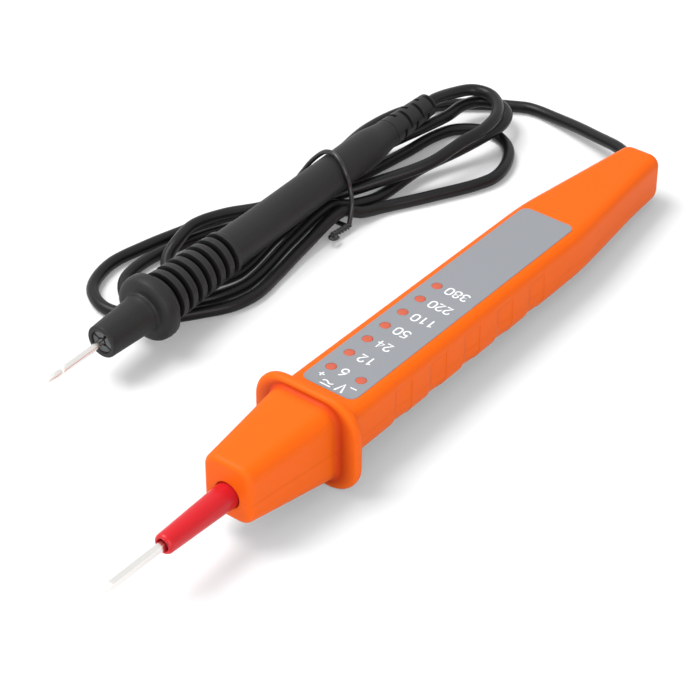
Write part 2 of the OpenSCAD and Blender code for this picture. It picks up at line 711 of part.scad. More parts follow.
// Black tie: a round cord over the handle and under the waist, its two ends twisted together
tie_r = 0.7;
tie_wire_r = 0.5;
tie_turns = 3;
tie_ring = [[49.1, 26.9, 2.3], [50.4, 27.3, 4.8], [51.9, 28, 7.2], [53.4, 29.5, 9.4], [54, 30.6, 12.1],
    [53.6, 31.2, 15], [54.2, 33.4, 17.8], [55.2, 36.6, 19.1], [55.7, 40, 18.4], [55.6, 42.6, 16.4],
    [54.3, 45, 13.5], [53.3, 46.4, 11.1], [52.3, 47.8, 8.6], [51.3, 49.3, 5.4], [50.4, 49.2, 2.6],
    [50, 47.2, 0.9], [49.8, 43, 0.8], [49.5, 38, 0.8], [49.3, 32, 0.9], [49.2, 28.4, 1.1]];
tie_from = [49, 26.8, 1.9];
tie_to = [42, 27.3, 2.3];
function tie_twist(phase) = let (axis = unit(tie_to - tie_from), s = unit(cross([0, 0, 1], axis)),
    u = cross(axis, s))
    [for (k = [0:8 * tie_turns]) let (a = 45 * k + phase)
        mix(tie_from, tie_to, k / (8 * tie_turns)) + 0.9 * tie_wire_r * (cos(a) * s + sin(a) * u)];
tie_hook = [tie_to, [40.7, 27.2, 2.6], [39.8, 26.5, 2.9], [39.9, 25.6, 2.8], [41, 25.3, 2.4],
    [42.4, 25.6, 2]];
module twist_tie() {
    color([0.10, 0.10, 0.11]) {
        tube(tie_ring, tie_r, 8);
        for (phase = [0, 180])
            tube(tie_twist(phase), tie_wire_r, 6);
        tube(tie_hook, tie_wire_r, 6);
    }
}

// Second probe, along the axis of its pin
module on_probe_axis(s) {
    translate([probe_x + s, probe_y, probe_z])
        rotate([0, 90, 0])
            children();
}
nose_front_r = 4.8;
nose_rear_r = 5.6;
collar_edge = 0.5;
grip_taper = 1;
handle_step = 0.2;
handle_ease = 14;
neck_r = 4.4;
boot_front_r = 4.4;
boot_rear_r = 3.5;
insert_d = 6.4;
insert_length = 10.4;
ferrule_d = 4.2;
ferrule_length = 13;
boot_plug_d = 7;
boot_plug_length = 7;
function grip_r(s) = grip_d / 2 - grip_taper * (s - grip_at) / (groove_count * groove_pitch);
function groove_points(k) = let (s = grip_at + k * groove_pitch, r = grip_r(s))
    [[r, s], [r - groove_depth, s + 0.15 * groove_width], [r - groove_depth, s + 0.85 * groove_width],
        [r, s + groove_width]];
// The collar's front: a small hollow next to the nose, a flat face and a rounded edge
collar_r = collar_d / 2;
collar_shares = [[0, 0], [0.04, 0.18], [0.14, 0.28], [0.3, 0.35], [0.84, 0.66], [0.96, 0.8], [1, 1]];
function collar_points() = concat(
    [for (s = collar_shares)
        [mix(nose_rear_r, collar_r, s[0]), mix(collar_front, collar_rim_at, s[1])]],
    [[collar_r, collar_back - collar_edge], [collar_r - collar_edge, collar_back]]);
neck_shares = [[0.3, 0.35], [0.8, 0.75], [1, 1]];
module probe_handle() {
    color([0.13, 0.13, 0.14])
        on_probe_axis(0)
            difference() {
                rotate_extrude($fn = round_fn)
                    polygon(concat(
                        [[0, 0], [nose_front_r - collar_edge, 0], [nose_front_r, collar_edge]],
                        collar_points(), [[grip_d / 2, collar_back]],
                        [for (k = [0:groove_count - 1]) each groove_points(k)],
                        [[grip_r(handle_at), handle_at - collar_edge],
                        [handle_d / 2 + handle_step, handle_at],
                        [handle_d / 2, handle_at + handle_ease], [handle_d / 2, handle_end]],
                        [for (s = neck_shares)
                            [mix(handle_d / 2, neck_r, s[0]), mix(handle_end, neck_at, s[1])]],
                        [[neck_r, boot_at], [0, boot_at]]));
                translate([0, 0, -over])
                    cylinder(h = insert_length + fit_gap + over + collar_edge, d = insert_d + 2 * fit_gap,
                        $fn = round_fn);
                cylinder(h = collar_edge + insert_length + ferrule_length + 2 * fit_gap,
                    d = ferrule_d + 2 * fit_gap, $fn = round_fn);
                cylinder(h = boot_at + over, d = lead_d + 2 * fit_gap, $fn = round_fn);
                translate([0, 0, boot_at - boot_plug_length - fit_gap])
                    cylinder(h = boot_plug_length + over, d = boot_plug_d + 2 * fit_gap, $fn = round_fn);
            }
}

// Insert in the nose's mouth, with crossed slots round the pin
slot_width = 0.8;
slot_depth = 1.5;
slot_turn = 30;
module probe_insert() {
    color([0.45, 0.46, 0.48])
        on_probe_axis(collar_edge)
            difference() {
                cylinder(h = insert_length, d = insert_d, $fn = round_fn);
                translate([0, 0, -over])
                    cylinder(h = insert_length + 2 * over, d = second_pin_d + 2 * (pin_shoulder + fit_gap),
                        $fn = round_fn);
                for (a = [0, 90])
                    rotate([0, 0, a + slot_turn])
                        translate([-insert_d, -slot_width / 2, -over])
                            cube([2 * insert_d, slot_width, over + slot_depth]);
            }
}

pin_tip = 4;
pin_neck_at = 5.5;
pin_neck_depth = 0.3;
pin_shoulder = 0.2;
module second_pin() {
    r = second_pin_d / 2;
    pin_end = second_pin_length + collar_edge + insert_length + ferrule_length / 2;
    color([0.82, 0.82, 0.80])
        on_probe_axis(-second_pin_length)
            rotate_extrude($fn = small_fn)
                polygon([[0, 0], [0.15 * r, 0], [r, pin_tip], [r, pin_neck_at - pin_neck_depth],
                    [r - pin_neck_depth, pin_neck_at], [r, pin_neck_at + pin_neck_depth],
                    [r, second_pin_length], [r + pin_shoulder, second_pin_length],
                    [r + pin_shoulder, pin_end], [0, pin_end]]);
}
module pin_ferrule() {
    color([0.78, 0.64, 0.34])
        on_probe_axis(collar_edge + insert_length)
            difference() {
                cylinder(h = ferrule_length, d = ferrule_d, $fn = round_fn);
                translate([0, 0, -over])
                    cylinder(h = ferrule_length / 2 + over, d = second_pin_d + 2 * pin_shoulder,
                        $fn = small_fn);
            }
}

// Tapered boot with a plug in the handle's end and pairs of slots, turned a quarter each time
boot_slots = 6;
boot_slot_width = 1.2;
boot_slot_pitch = 2.9;
boot_slot_first = 3.2;
boot_slot_turn = 130;
boot_core = 2.4;
boot_edge = 0.5;
module strain_relief() {
    length = boot_end - boot_at;
    color([0.13, 0.13, 0.14])
        on_probe_axis(boot_at)
            difference() {
                union() {
                    rotate_extrude($fn = round_fn)
                        polygon([[0, 0], [boot_front_r, 0], [boot_rear_r, length - boot_edge],
                            [boot_rear_r - boot_edge, length], [0, length]]);
                    translate([0, 0, -boot_plug_length])
                        cylinder(h = boot_plug_length + over, d = boot_plug_d, $fn = round_fn);
                }
                translate([0, 0, -boot_plug_length - over])
                    cylinder(h = length + boot_plug_length + 2 * over, d = lead_d + 2 * fit_gap,
                        $fn = round_fn);
                for (k = [0:boot_slots - 1], side = [0, 180])
                    rotate([0, 0, boot_slot_turn + side + 90 * (k % 2)])
                        translate([boot_core, -2 * boot_front_r, boot_slot_first + k * boot_slot_pitch])
                            cube([boot_front_r, 4 * boot_front_r, boot_slot_width]);
            }
}
// The lead inside the handle, from the ferrule to the boot's end
module lead_core() {
    start = collar_edge + insert_length + ferrule_length;
    color([0.07, 0.07, 0.08])
        on_probe_axis(start)
            cylinder(h = boot_end - start, d = lead_d, $fn = round_fn);
}

echo(str("lead length: free ", length_of(smooth(lead_points)), ", hank ", length_of(hank_path), ", rings ",
    len(smooth(lead_points)), " and ", len(hank_path)));
echo(str("least gap of the hank to itself: ", least_gap(hank_path, lead_d, 5)));
echo(str("lead leaves the tail at ", lead_start, " towards ", lead_dir, ", hank ends at ", hank_end));

lower_shell();
upper_shell();
display_label();
tip_sleeve();
main_pin();
pin_collar();
pin_wire();
circuit_board();
lamp_1();
lamp_2();
lamp_3();
lamp_4();
lamp_5();
lamp_6();
lamp_7();
lamp_minus();
resistor_1();
resistor_2();
resistor_3();
resistor_4();
diode_1();
diode_2();
logic_chip();
shell_screw_1();
shell_screw_2();
shell_screw_3();
lead_clamp();
lead_tail();
lead();
lead_hank();
twist_tie();
probe_handle();
probe_insert();
second_pin();
pin_ferrule();
strain_relief();
lead_core();
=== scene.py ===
import math

import bpy
import numpy as np
from mathutils import Matrix, Vector


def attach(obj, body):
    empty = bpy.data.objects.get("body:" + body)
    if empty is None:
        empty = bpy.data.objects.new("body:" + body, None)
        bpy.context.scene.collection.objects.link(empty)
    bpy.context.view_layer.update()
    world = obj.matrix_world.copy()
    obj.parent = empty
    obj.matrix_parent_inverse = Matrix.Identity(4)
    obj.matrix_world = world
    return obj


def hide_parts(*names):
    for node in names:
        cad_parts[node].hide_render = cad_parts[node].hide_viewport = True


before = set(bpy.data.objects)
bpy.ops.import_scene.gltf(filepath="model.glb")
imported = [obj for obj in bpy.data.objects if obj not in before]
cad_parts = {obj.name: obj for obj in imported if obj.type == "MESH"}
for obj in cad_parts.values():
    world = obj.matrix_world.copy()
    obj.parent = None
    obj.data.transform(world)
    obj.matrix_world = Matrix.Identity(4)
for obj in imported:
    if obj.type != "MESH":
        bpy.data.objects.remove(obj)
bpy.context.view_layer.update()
MM = 0.001

# sizes shared with the CAD, in mm
BODY_TOP, BODY_LOW, HALF_W = 9.18, 7.82, 11.8
NOSE_LEN, SLEEVE_LEN = 30.0, 23.5
GUARD_T, GUARD_HALF, GUARD_TOP, GUARD_LOW = 3.0, 16.3, 14.2968, 13.3032
BODY_END = 156.0
FOOT_FRONT, FOOT_BACK = 2.2, 153.0
LAMP_X, LAMP_PITCH, LAMP_COUNT = 16.6, 7.5, 7
LAMP_Y, MINUS_Y = 4.72, -4.86
TILT = math.atan((GUARD_LOW - BODY_LOW) / (FOOT_BACK - FOOT_FRONT))
TESTER = np.array([-41.2, -30.0, FOOT_FRONT * math.sin(TILT) + GUARD_LOW * math.cos(TILT)])
PROBE_Y, PROBE_Z, PROBE_X = 37.0, 12.6, -43.5
PROBE_END = 144
LEAD_D = 3.6


def laid(p):
    """Tester frame to table frame, mm: turned by TILT about Y, then moved to TESTER."""
    p = np.asarray(p, float)
    c, s = math.cos(TILT), math.sin(TILT)
    return np.stack([p[..., 0] * c + p[..., 2] * s, p[..., 1], p[..., 2] * c - p[..., 0] * s], -1) + TESTER


# camera
CAMERA_AT = Vector((-0.39915, -0.33400, 0.40979))
RIGHT = Vector((0.61637, -0.78724, -0.01865))
UP = Vector((0.49639, 0.37005, 0.78527))
AHEAD = Vector((0.61129, 0.49328, -0.61887))

scene = bpy.context.scene
cam_data = bpy.data.cameras.new("view_camera")
cam_data.lens = 126.505
cam_data.sensor_width = 36.0
cam_data.clip_start = 0.05
cam_data.clip_end = 20.0
camera = bpy.data.objects.new("view_camera", cam_data)
scene.collection.objects.link(camera)
pose = Matrix.Identity(4)
for i in range(3):
    pose[i][0], pose[i][1], pose[i][2] = RIGHT[i], UP[i], -AHEAD[i]
pose.translation = CAMERA_AT
camera.matrix_world = pose
scene.camera = camera


# mesh helpers
def mesh_object(name, verts, faces, uv=None, smooth=True, sharp=None, hollow=None):
    """Object at the origin from vertices in metres and faces.

    uv is one pair per vertex. hollow is one number per vertex, 0 outside to 1 deep in a corner or a groove,
    kept as an attribute of that name, which sets where shade is painted. sharp is the angle in degrees from
    which an edge stays sharp.
    """
    mesh = bpy.data.meshes.new(name)
    mesh.from_pydata(np.asarray(verts, float).tolist(), [], faces)
    if uv is not None:
        layer = mesh.uv_layers.new(name="UVMap")
        loops = np.empty(len(mesh.loops), dtype=np.int32)
        mesh.loops.foreach_get("vertex_index", loops)
        layer.data.foreach_set("uv", np.asarray(uv, float)[loops].astype(np.float32).ravel())
    if hollow is not None:
        layer = mesh.attributes.new("hollow", "FLOAT", "POINT")
        layer.data.foreach_set("value", np.asarray(hollow, np.float32))
    mesh.update()
    if smooth:
        mesh.shade_smooth()
        if sharp is not None:
            mesh.set_sharp_from_angle(angle=math.radians(sharp))
    obj = bpy.data.objects.new(name, mesh)
    scene.collection.objects.link(obj)
    return obj


def grid_faces(rows, cols):
    """Quads of a rows x cols grid of vertices, closed round the columns."""
    j, k = np.meshgrid(np.arange(rows - 1), np.arange(cols), indexing="ij")
    after = (k + 1) % cols
    return np.stack([j * cols + after, (j + 1) * cols + after, (j + 1) * cols + k, j * cols + k],
                    -1).reshape(-1, 4)


def closed_rings(rows, cols):
    """Faces between rows of cols vertices, with fans to the two poles, which are the last two vertices."""
    k = np.arange(cols)
    after = (k + 1) % cols
    pole, last = rows * cols, (rows - 1) * cols
    start = np.stack([np.full(cols, pole), after, k], -1)
    end = np.stack([np.full(cols, pole + 1), last + k, last + after], -1)
    return grid_faces(rows, cols).tolist() + start.tolist() + end.tolist()


def ring_uv(line, cols):
    """UV of closed_rings: metres along the line of ring centres or profile, and share of the turn."""
    along = np.r_[0, np.cumsum(np.linalg.norm(np.diff(line, axis=0), axis=1))] * MM
    turn = np.arange(cols) / cols
    uv = np.stack(np.broadcast_arrays(along[:, None], turn[None]), -1).reshape(-1, 2)
    return np.vstack([uv, [[0, 0.5], [along[-1], 0.5]]])


def unit(v):
    return v / np.maximum(np.linalg.norm(v, axis=-1, keepdims=True), 1e-12)


def tube(name, path, radius, sides=20):
    """Tube about path (mm): p(t) + radius * (s cos a + u sin a), s carried along the path, u = t x s."""
    path = np.asarray(path, float)
    t = unit(np.gradient(path, axis=0))
    steep = abs(t[0][2]) >= 0.9
    s = [unit(np.cross([1.0, 0, 0] if steep else [0, 0, 1.0], t[0]))]
    for ahead in t[1:]:
        s.append(unit(s[-1] - ahead * (s[-1] @ ahead)))
    s = np.array(s)
    u = np.cross(t, s)
    a = 2 * np.pi * np.arange(sides) / sides
    cos_a, sin_a = np.cos(a)[None, :, None], np.sin(a)[None, :, None]
    rings = path[:, None] + radius * (cos_a * s[:, None] + sin_a * u[:, None])
    verts = np.vstack([rings.reshape(-1, 3), path[:1], path[-1:]])
    return mesh_object(name, verts * MM, closed_rings(len(path), sides), uv=ring_uv(path, sides), sharp=50)


def smooth_path(points, steps):
    """Hermite curve through points (mm), slopes from the neighbours' chord over the two stretch lengths."""
    p = np.asarray(points, float)
    k = np.arange(len(p))
    length = np.linalg.norm(np.diff(p, axis=0), axis=1)
    chord = p[np.minimum(k + 1, len(p) - 1)] - p[np.maximum(k - 1, 0)]
    slope = chord / (np.r_[length, 0] + np.r_[0, length])[:, None]
    t = (np.arange(steps) / steps)[None, :, None]
    l = length[:, None, None]
    curve = (p[:-1, None] * (2 * t**3 - 3 * t**2 + 1) + slope[:-1, None] * l * (t**3 - 2 * t**2 + t)
             + p[1:, None] * (3 * t**2 - 2 * t**3) + slope[1:, None] * l * (t**3 - t**2))
    return np.vstack([curve.reshape(-1, 3), p[-1:]])


# material helpers
def node(tree, kind, inputs=(), **props):
    """New node in tree, with its properties and the values of its inputs, as {socket: value}."""
    n = tree.nodes.new(kind)
    for k, v in props.items():
        setattr(n, k, v)
    for socket, value in dict(inputs).items():
        n.inputs[socket].default_value = value
    return n


def wire(tree, *pairs):
    """Links each pair of an output and an input."""
    for output, into in pairs:
        tree.links.new(output, into)


def any_ray(tree, *kinds):
    """1 on a ray of any of these kinds."""
    rays = node(tree, "ShaderNodeLightPath")
    found = rays.outputs[kinds[0]]
    for kind in kinds[1:]:
        either = node(tree, "ShaderNodeMath", operation="MAXIMUM")
        wire(tree, (found, either.inputs[0]), (rays.outputs[kind], either.inputs[1]))
        found = either.outputs[0]
    return found


def shader(name, base, rough, **sockets):
    """Material with one Principled shader; constants go on its own sockets."""
    mat = bpy.data.materials.new(name)
    mat.use_nodes = True
    b = mat.node_tree.nodes["Principled BSDF"]
    b.inputs["Base Color"].default_value = (*base, 1)
    b.inputs["Roughness"].default_value = rough
    for k, v in sockets.items():
        b.inputs[k.replace("_", " ")].default_value = v
    return mat, b


def moulded_group():
    """Shared look of moulded plastic: slow colour mottling, fine pitting and worn-soft edges."""
    g = bpy.data.node_groups.new("moulded_plastic", "ShaderNodeTree")
    for name, kind, value in (("Color", "Color", (0.5, 0.5, 0.5, 1)), ("Variation", "Float", 0.04),
                              ("Grain", "Float", 900.0), ("Depth", "Float", 0.00001),
                              ("Roughness", "Float", 0.4), ("Edge", "Float", 0.0003)):
        socket = g.interface.new_socket(name, in_out="INPUT", socket_type="NodeSocket" + kind)
        socket.default_value = value
    for name, kind in (("Color", "Color"), ("Roughness", "Float"), ("Normal", "Vector")):
        g.interface.new_socket(name, in_out="OUTPUT", socket_type="NodeSocket" + kind)
    given, result = node(g, "NodeGroupInput"), node(g, "NodeGroupOutput")
    place = node(g, "ShaderNodeTexCoord")
    slow = node(g, "ShaderNodeTexNoise", {"Scale": 45.0, "Detail": 4.0})
    fine = node(g, "ShaderNodeTexNoise", {"Detail": 3.0})
    centred = node(g, "ShaderNodeMath", {1: 0.5}, operation="SUBTRACT")
    amount = node(g, "ShaderNodeMath", {2: 1.0}, operation="MULTIPLY_ADD")
    tint = node(g, "ShaderNodeVectorMath", operation="SCALE")
    rough = node(g, "ShaderNodeMath", {1: 0.12}, operation="MULTIPLY_ADD")
    bevel = node(g, "ShaderNodeBevel", samples=4)
    bump = node(g, "ShaderNodeBump", {"Strength": 1.0})
    wire(g,
         (place.outputs["Object"], slow.inputs["Vector"]), (place.outputs["Object"], fine.inputs["Vector"]),
         (given.outputs["Grain"], fine.inputs["Scale"]), (slow.outputs["Fac"], centred.inputs[0]),
         (centred.outputs[0], amount.inputs[0]), (given.outputs["Variation"], amount.inputs[1]),
         (given.outputs["Color"], tint.inputs[0]), (amount.outputs[0], tint.inputs["Scale"]),
         (tint.outputs[0], result.inputs["Color"]),
         (centred.outputs[0], rough.inputs[0]), (given.outputs["Roughness"], rough.inputs[2]),
         (rough.outputs[0], result.inputs["Roughness"]),
         (given.outputs["Edge"], bevel.inputs["Radius"]), (given.outputs["Depth"], bump.inputs["Distance"]),
         (fine.outputs["Fac"], bump.inputs["Height"]), (bevel.outputs["Normal"], bump.inputs["Normal"]),
         (bump.outputs["Normal"], result.inputs["Normal"]))
    return g


MOULDED = moulded_group()


def plastic(name, base, rough, variation=0.05, grain=900.0, depth=0.000012, edge=0.0003, **sockets):
    """Material whose colour, roughness and normal come from the moulded plastic's group."""
    mat, b = shader(name, base, rough, **sockets)
    g = node(mat.node_tree, "ShaderNodeGroup", node_tree=MOULDED)
    for socket, value in (("Color", (*base, 1)), ("Variation", variation), ("Grain", grain), ("Depth", depth),
                          ("Roughness", rough), ("Edge", edge)):
        g.inputs[socket].default_value = value
    wire(mat.node_tree, (g.outputs["Color"], b.inputs["Base Color"]),
         (g.outputs["Roughness"], b.inputs["Roughness"]), (g.outputs["Normal"], b.inputs["Normal"]))
    return mat


def metal(name, base, rough, streaks=0.08):
    """Drawn metal: fine streaks along X in roughness and height."""
    mat, b = shader(name, base, rough, Metallic=1.0)
    tree = mat.node_tree
    place = node(tree, "ShaderNodeTexCoord")
    stretch = node(tree, "ShaderNodeMapping", {"Scale": (60, 2500, 2500)})
    noise = node(tree, "ShaderNodeTexNoise", {"Scale": 1.0, "Detail": 3.0})
    spread = node(tree, "ShaderNodeMapRange", {"To Min": rough - streaks / 2, "To Max": rough + streaks})
    bump = node(tree, "ShaderNodeBump", {"Distance": 0.000006})
    wire(tree, (place.outputs["Object"], stretch.inputs["Vector"]),
         (stretch.outputs["Vector"], noise.inputs["Vector"]), (noise.outputs["Fac"], spread.inputs["Value"]),
         (spread.outputs["Result"], b.inputs["Roughness"]), (noise.outputs["Fac"], bump.inputs["Height"]),
         (bump.outputs["Normal"], b.inputs["Normal"]))
    return mat


MIX_FACTOR, MIX_A, MIX_B, MIX_RESULT = 0, 6, 7, 2    # colour sockets of the Mix node


def painted_corner_shade(mat, deep, thrown):
    """Painted shade: the colour is drawn to a darker, redder colour where the attribute hollow is 1; in the
    light it throws on others, it is drawn to a grey.
    """
    tree = mat.node_tree
    base = tree.nodes["Principled BSDF"].inputs["Base Color"]
    colour = base.links[0].from_socket
    mask = node(tree, "ShaderNodeAttribute", attribute_name="hollow")
    corner = node(tree, "ShaderNodeMix", data_type="RGBA")
    corner.inputs[MIX_B].default_value = (*deep, 1)
    given = node(tree, "ShaderNodeMix", data_type="RGBA")
    given.inputs[MIX_B].default_value = (*thrown, 1)
    wire(tree, (mask.outputs["Fac"], corner.inputs[MIX_FACTOR]), (colour, corner.inputs[MIX_A]),
         (any_ray(tree, "Is Diffuse Ray"), given.inputs[MIX_FACTOR]),
         (corner.outputs[MIX_RESULT], given.inputs[MIX_A]), (given.outputs[MIX_RESULT], base))


def painted_groove_shade(mat, left, gloss, deep_gloss):
    """Painted shade: colour falls to the share left, and gloss to deep_gloss, where the attribute hollow rises
    to 1.
    """
    tree = mat.node_tree
    b = tree.nodes["Principled BSDF"]
    colour = b.inputs["Base Color"].links[0].from_socket
    mask = node(tree, "ShaderNodeAttribute", attribute_name="hollow")
    lit = node(tree, "ShaderNodeMapRange", {"To Min": 1.0, "To Max": left})
    shine = node(tree, "ShaderNodeMapRange", {"To Min": gloss, "To Max": deep_gloss})
    tint = node(tree, "ShaderNodeVectorMath", operation="SCALE")
    wire(tree, (mask.outputs["Fac"], lit.inputs["Value"]), (mask.outputs["Fac"], shine.inputs["Value"]),
         (colour, tint.inputs[0]), (lit.outputs["Result"], tint.inputs["Scale"]),
         (tint.outputs[0], b.inputs["Base Color"]), (shine.outputs["Result"], b.inputs["Specular IOR Level"]))


ORANGE = plastic("orange_shell", (0.90, 0.130, 0.005), 0.48, variation=0.05, grain=1400, depth=0.000006,
                 Specular_IOR_Level=0.12)
# painted shade: the corners at the guard are drawn darker and redder, and the orange throws grey light on its
# neighbours
painted_corner_shade(ORANGE, (0.62, 0.045, 0.002), (0.20, 0.19, 0.185))
LABEL = plastic("label_grey", (0.258, 0.268, 0.288), 0.5, variation=0.03, grain=2500, depth=0.000004,
                edge=0.00008, Specular_IOR_Level=0.35)
RED = plastic("sleeve_red", (0.59, 0.007, 0.014), 0.30, variation=0.05, depth=0.000005,
              Specular_IOR_Level=0.35)
CORAL = plastic("lamp_coral", (0.55, 0.115, 0.065), 0.55, variation=0.03, edge=0.0001, Specular_IOR_Level=0.2)
BLACK = plastic("probe_black", (0.0175, 0.0175, 0.0183), 0.50, variation=0.3, grain=1700, depth=0.00002,
                edge=0.0001, Specular_IOR_Level=0.23)
GRIP = plastic("probe_grip_black", (0.0175, 0.0175, 0.0183), 0.52, variation=0.5, grain=1100, depth=0.00005,
               edge=0.00008)
# painted shade: the grooves' floors darken to 15 % of the colour and lose their gloss
painted_groove_shade(GRIP, 0.15, 0.23, 0.02)
GREY = plastic("insert_grey", (0.075, 0.080, 0.082), 0.5, variation=0.25)
CORD = plastic("lead_black", (0.0085, 0.0085, 0.009), 0.34, variation=0.2, grain=600, depth=0.00002,
               Specular_IOR_Level=0.22)
TIE = plastic("tie_black", (0.012, 0.012, 0.013), 0.30, variation=0.2, grain=900, depth=0.00001)
WHITE = plastic("print_white", (0.86, 0.87, 0.88), 0.5, variation=0.03, edge=0.00002)
STEEL = metal("pin_nickel", (0.80, 0.785, 0.76), 0.22)
BRASS = metal("pin_brass", (0.75, 0.56, 0.25), 0.3)
SCREW = metal("screw_steel", (0.62, 0.62, 0.64), 0.3)
BOARD = plastic("board_green", (0.02, 0.13, 0.045), 0.4)
WIRE = plastic("wire_red", (0.55, 0.02, 0.02), 0.35)
TAN = plastic("resistor_tan", (0.60, 0.45, 0.25), 0.35)
CHIP = plastic("chip_black", (0.02, 0.02, 0.022), 0.5)

LOOKS = {
    "lower_shell": ORANGE, "upper_shell": ORANGE, "display_label": LABEL, "tip_sleeve": RED, "main_pin": STEEL,
    "pin_collar": BRASS, "pin_wire": WIRE, "circuit_board": BOARD, "lamp_minus": CORAL, "logic_chip": CHIP,
    "diode_1": CHIP, "diode_2": CHIP, "lead_clamp": SCREW, "lead_tail": CORD, "lead": CORD, "lead_hank": CORD,
    "twist_tie": TIE, "probe_handle": BLACK, "probe_insert": GREY, "second_pin": STEEL, "pin_ferrule": BRASS,
    "strain_relief": BLACK, "lead_core": CORD,
}
LOOKS.update({f"lamp_{k}": CORAL for k in range(1, LAMP_COUNT + 1)})
LOOKS.update({f"resistor_{k}": TAN for k in range(1, 5)})
LOOKS.update({f"shell_screw_{k}": SCREW for k in range(1, 4)})


def dress(obj, mat):
    """Gives the object one material, also in slots that it has already."""
    if len(obj.material_slots) == 0:
        obj.data.materials.append(mat)
    for s in obj.material_slots:
        s.material = mat


for name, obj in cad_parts.items():
    dress(obj, LOOKS[name])


def piece(obj, mat, slot, *nodes):
    """Dresses a new piece, lets it ride on the one body and stand for its CAD nodes."""
    dress(obj, mat)
    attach(obj, "root")
    if nodes:
        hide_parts(*nodes)
    return obj


# the lead and its hank (mm); LAY1 to LAY3 are the heights of strands on the table and on one another
LAY1 = LEAD_D / 2 + 0.1
LAY2 = LAY1 + LEAD_D + 0.6
LAY3 = LAY2 + LEAD_D + 0.6
EXIT_TURN = math.radians(30)
EXIT_AT, EXIT_OUT = np.array([146.0, 0, 0]), 11.5
exit_dir = np.array([math.cos(EXIT_TURN), math.sin(EXIT_TURN), 0])
lead_start = laid(EXIT_AT + EXIT_OUT * exit_dir)
lead_dir = laid(EXIT_AT + exit_dir) - laid(EXIT_AT)
free_route = [[120.4, -19.6, 7.2], [122, -16, 6.9], [123.4, -12, 6.2], [125, -7, 5.3], [126.6, -2, 4.5],
              [128, 3, 3.7], [129.2, 8, 2.9], [130.1, 12.5, 2.3], [130.6, 16.5, 2], [130.6, 19, 1.9]]
hank_start = np.array([128.6, 24.8, LAY1])
hank_dir = unit(np.array([-0.42, 0.9, 0]))

# where the six strands pass through the tie: y and z at WAIST_X
WAIST_X = 49.5
WAIST = [[WAIST_X, y, z] for y, z in ((30, 5.2), (34.4, 5), (38.5, 3.6), (42.7, 3.5), (44.8, 7.1), (46.9, 3.5))]

far_side = [
    [[124.4, 32.5, LAY1], [117.5, 41.5, LAY1], [107, 50, LAY1], [92, 53.4, LAY1], [76, 51.8, 2.3],
     [64, 50.4, 2.9], WAIST[5], [40, 50.8, 2.8], [33.5, 56.2, 2.3], [27, 60.2, LAY1], [18, 63.3, LAY1]],
    [[89, 36.4, LAY1], [72, 38.6, LAY1 + 0.7], WAIST[3], [40, 45, 3], [33, 48.8, 2.3], [24, 55.2, LAY1],
     [13, 59.6, LAY1]],
    [[99.6, 36.2, 5.9], [88.4, 41.2, 4], [74, 46.2, LAY1 + 0.6], [62, 45.3, 5.4], WAIST[4], [37, 47.2, 6.9],
     [27, 54.8, LAY2 + 0.4]]]
left_end = [
    [[6, 67, LAY1], [-6, 69.2, LAY1], [-16.8, 65.8, LAY1], [-21.6, 58, LAY1], [-20.5, 49.5, LAY1],
     [-15.4, 40.8, LAY1], [-7, 33.8, LAY1]],
    [[1, 62.2, LAY1], [-9, 60.8, LAY1], [-15, 54, LAY1], [-13, 46.4, LAY1], [-7, 40.4, LAY1]],
    [[18, 58.4, LAY2 + 0.3], [9.5, 57.4, LAY2 - 0.2], [3.4, 56, 3.8], [-0.6, 51, 2.2], [0, 45, LAY1],
     [6, 40, LAY1]]]
near_side = [
    [[0, 29.2, LAY1], [8, 27.3, LAY1], [19, 28.5, LAY1], [33, 30, LAY1 + 1], WAIST[0], [55, 27, 3.1],
     [62, 24.6, LAY1], [75, 16.6, LAY1]],
    [[1, 35, LAY1], [11, 32.2, LAY1], [32, 34.6, LAY1 + 1], WAIST[1], [56, 31.4, 3.2], [65, 28.6, 2.1],
     [82, 26.2, 3.7]],
    [[14, 37.4, LAY1], [32, 39.2, LAY1 + 1], WAIST[2], [55, 36.9, 4.6], [63, 31.9, LAY2 - 0.3],
     [80, 21.9, LAY2 + 2.1]]]
right_end = [
    [[91.4, 8, LAY1], [100.8, 8.7, LAY1], [109, 13.9, LAY1], [112.4, 22.6, LAY1], [108, 31.3, LAY1],
     [100.6, 34.8, LAY1]],
    [[95.2, 21.6, 5.1], [104.2, 19, LAY2], [112, 18.4, LAY2], [118.2, 20.6, LAY2], [121.2, 25.8, LAY2],
     [119.4, 31.4, LAY2], [113.9, 34.2, LAY2], [107.2, 34.6, LAY2 - 0.1]],
    [[93.2, 18.9, LAY3 - 0.1], [102, 17.7, LAY3], [110, 18.9, LAY3], [115.9, 22.6, LAY3],
     [118.8, 27.6, LAY3], [117.4, 32.8, LAY3 + 0.3], [111.6, 35.8, LAY3 + 1]]]
hank_end = np.array([PROBE_X + PROBE_END, PROBE_Y, PROBE_Z])

lead_points = [lead_start, lead_start + LEAD_D * lead_dir, *free_route, hank_start - LEAD_D * hank_dir,
               hank_start]
for loop in zip(far_side, left_end, near_side, right_end):
    for part in loop:
        lead_points += part
lead_points += [hank_end + [LEAD_D, 0, 0], hank_end]
lead_path = smooth_path(lead_points, 8)

lead = tube("lead_cord", lead_path, LEAD_D / 2, sides=24)
piece(lead, CORD, "lead_black", "lead", "lead_hank")


